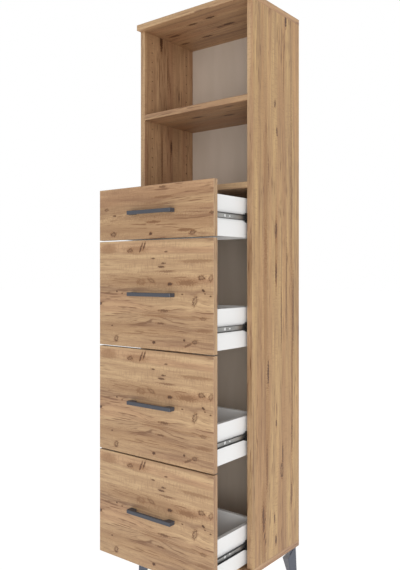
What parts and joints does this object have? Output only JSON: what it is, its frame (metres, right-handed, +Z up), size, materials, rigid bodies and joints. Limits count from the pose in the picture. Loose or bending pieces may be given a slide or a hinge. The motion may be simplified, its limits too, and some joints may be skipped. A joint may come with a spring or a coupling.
{
  "type": "storage cabinet",
  "caption": "Tall narrow storage cabinet with open shelves above drawers on ball bearing slides, bow handles and splayed triangular legs; the drawers stand open.",
  "frame": {"origin": "on the floor, below the middle of the box round the cabinet with its drawers open as they rest", "axes": "+Z up, +X to the right for someone facing the drawer fronts, +Y from the front to the rear"},
  "size_m": [0.444, 0.48, 1.82],
  "materials": {
    "oak_board": "melamine-faced chipboard with a rustic oak grain, satin",
    "back_board": "thin fibreboard, warm light grey",
    "white_board": "white melamine-faced chipboard, satin",
    "drawer_bottom_board": "thin fibreboard, white face",
    "dowel_wood": "bare beech",
    "slide_steel": "bright zinc-plated strip",
    "zinc_fastener": "zinc-plated",
    "retainer_plastic": "black, matt",
    "handle_metal": "anthracite powder coat, satin",
    "leg_plastic": "dark blue-grey, matt",
    "glide_plastic": "dark grey, matt"
  },
  "bodies": {
    "cabinet": {"left_side_panel": "oak_board", "right_side_panel": "oak_board", "top_panel": "oak_board", "bottom_panel": "oak_board", "upper_shelf": "oak_board", "divider_shelf": "oak_board", "back_panel": "back_board", "dowels": "dowel_wood", "panel_screws": "zinc_fastener", "shelf_cams": "zinc_fastener", "shelf_bolts": "zinc_fastener", "outer_slide_screws": "zinc_fastener", "leg_screws": "zinc_fastener", "front_left_leg": "leg_plastic", "front_right_leg": "leg_plastic", "rear_left_leg": "leg_plastic", "rear_right_leg": "leg_plastic", "leg_glides": "glide_plastic", "drawer_1_outer_slides": "slide_steel", "drawer_2_outer_slides": "slide_steel", "drawer_3_outer_slides": "slide_steel", "drawer_4_outer_slides": "slide_steel"},
    "drawer_1": {"drawer_1_front": "oak_board", "drawer_1_handle": "handle_metal", "drawer_1_right_side": "white_board", "drawer_1_left_side": "white_board", "drawer_1_back": "white_board", "drawer_1_bottom": "drawer_bottom_board", "drawer_1_inner_slides": "slide_steel", "drawer_1_fasteners": "zinc_fastener"},
    "drawer_1_retainers": {"drawer_1_ball_retainers": "retainer_plastic"},
    "drawer_2": {"drawer_2_front": "oak_board", "drawer_2_handle": "handle_metal", "drawer_2_right_side": "white_board", "drawer_2_left_side": "white_board", "drawer_2_back": "white_board", "drawer_2_bottom": "drawer_bottom_board", "drawer_2_inner_slides": "slide_steel", "drawer_2_fasteners": "zinc_fastener"},
    "drawer_2_retainers": {"drawer_2_ball_retainers": "retainer_plastic"},
    "drawer_3": {"drawer_3_front": "oak_board", "drawer_3_handle": "handle_metal", "drawer_3_right_side": "white_board", "drawer_3_left_side": "white_board", "drawer_3_back": "white_board", "drawer_3_bottom": "drawer_bottom_board", "drawer_3_inner_slides": "slide_steel", "drawer_3_fasteners": "zinc_fastener"},
    "drawer_3_retainers": {"drawer_3_ball_retainers": "retainer_plastic"},
    "drawer_4": {"drawer_4_front": "oak_board", "drawer_4_handle": "handle_metal", "drawer_4_right_side": "white_board", "drawer_4_left_side": "white_board", "drawer_4_back": "white_board", "drawer_4_bottom": "drawer_bottom_board", "drawer_4_inner_slides": "slide_steel", "drawer_4_fasteners": "zinc_fastener"},
    "drawer_4_retainers": {"drawer_4_ball_retainers": "retainer_plastic"}
  },
  "joints": [
    {"name": "drawer_1_slide", "type": "slide", "parent": "cabinet", "child": "drawer_1", "axis": [0, -1, 0], "range_m": [-0.166, 0.01]},
    {"name": "drawer_1_retainer_slide", "type": "slide", "parent": "cabinet", "child": "drawer_1_retainers", "axis": [0, -1, 0], "range_m": [-0.083, 0.005]},
    {"name": "drawer_2_slide", "type": "slide", "parent": "cabinet", "child": "drawer_2", "axis": [0, -1, 0], "range_m": [-0.166, 0.01]},
    {"name": "drawer_2_retainer_slide", "type": "slide", "parent": "cabinet", "child": "drawer_2_retainers", "axis": [0, -1, 0], "range_m": [-0.083, 0.005]},
    {"name": "drawer_3_slide", "type": "slide", "parent": "cabinet", "child": "drawer_3", "axis": [0, -1, 0], "range_m": [-0.166, 0.01]},
    {"name": "drawer_3_retainer_slide", "type": "slide", "parent": "cabinet", "child": "drawer_3_retainers", "axis": [0, -1, 0], "range_m": [-0.083, 0.005]},
    {"name": "drawer_4_slide", "type": "slide", "parent": "cabinet", "child": "drawer_4", "axis": [0, -1, 0], "range_m": [-0.166, 0.01]},
    {"name": "drawer_4_retainer_slide", "type": "slide", "parent": "cabinet", "child": "drawer_4_retainers", "axis": [0, -1, 0], "range_m": [-0.083, 0.005]}
  ],
  "couplings": [
    {"joint": "drawer_1_retainer_slide", "follows": "drawer_1_slide", "ratio": 0.5},
    {"joint": "drawer_2_retainer_slide", "follows": "drawer_2_slide", "ratio": 0.5},
    {"joint": "drawer_3_retainer_slide", "follows": "drawer_3_slide", "ratio": 0.5},
    {"joint": "drawer_4_retainer_slide", "follows": "drawer_4_slide", "ratio": 0.5}
  ]
}
